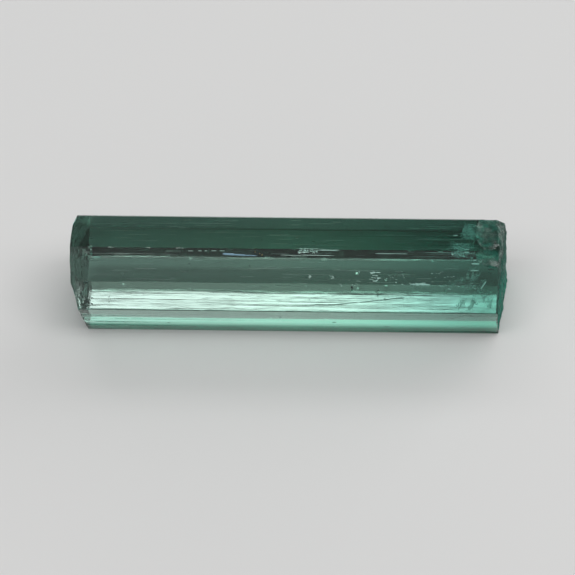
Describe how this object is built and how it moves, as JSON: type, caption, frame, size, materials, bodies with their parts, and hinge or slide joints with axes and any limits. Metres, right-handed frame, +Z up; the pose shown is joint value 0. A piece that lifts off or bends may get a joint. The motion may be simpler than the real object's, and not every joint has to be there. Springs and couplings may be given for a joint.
{
  "type": "emerald crystal",
  "caption": "Slim transparent bluish-green hexagonal prism crystal, lying on one long face, with both ends broken across and a shell-shaped chip at one corner.",
  "frame": {"origin": "middle of the underside of the crystal's bounding box", "axes": "+X along the crystal's long axis towards its deeper green, chipped end; +Z up, out of the long face on top; the wide steep face looks towards -Y"},
  "size_m": [0.026, 0.008, 0.0068],
  "materials": {
    "emerald": "clear, glassy natural faces with fine lengthwise growth lines"
  },
  "bodies": {
    "root": {"emerald_crystal": "emerald"}
  },
  "joints": []
}
